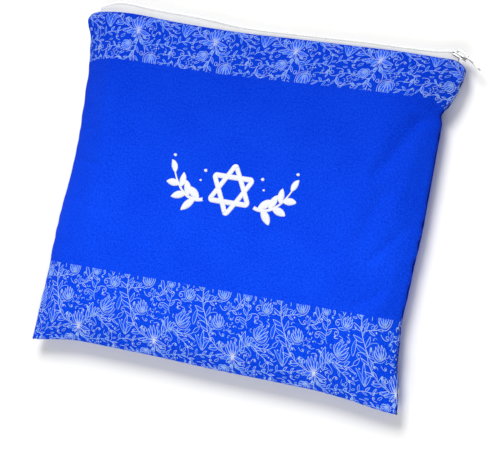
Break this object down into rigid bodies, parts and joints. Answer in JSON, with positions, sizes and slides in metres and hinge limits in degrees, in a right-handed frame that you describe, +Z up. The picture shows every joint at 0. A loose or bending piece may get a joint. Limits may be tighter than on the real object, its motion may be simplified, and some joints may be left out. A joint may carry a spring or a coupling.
{
  "type": "tallit bag",
  "caption": "Flat zip-top cloth pouch for a prayer shawl, softly filled out, lying on its back panel, with printed floral bands and a swinging zip pull.",
  "frame": {"origin": "middle of the bag on the flat underside of its back panel", "axes": "+X along the zip towards its slider, +Y from the bottom edge to the zip, +Z up out of the front panel"},
  "size_m": [0.3684, 0.3113, 0.0385],
  "materials": {
    "blue_cloth": "royal blue printed polyester cloth, matt with a faint sheen",
    "white_tape": "white woven zip tape",
    "white_coil": "off-white nylon coil",
    "bright_metal": "nickel-plated die-cast metal"
  },
  "bodies": {
    "bag": {"front_panel": "blue_cloth", "back_panel": "blue_cloth", "zip_tape_front": "white_tape", "zip_tape_back": "white_tape", "zip_coil": "white_coil", "zip_slider": "bright_metal"},
    "pull_tab": {"pull_tab": "bright_metal"}
  },
  "joints": [
    {"name": "pull_tab_swing", "type": "hinge", "parent": "bag", "child": "pull_tab", "pos_m": [0.17647, 0.15291, 0.015], "axis": [0, 0, 1], "range_deg": [-3, 155]}
  ]
}
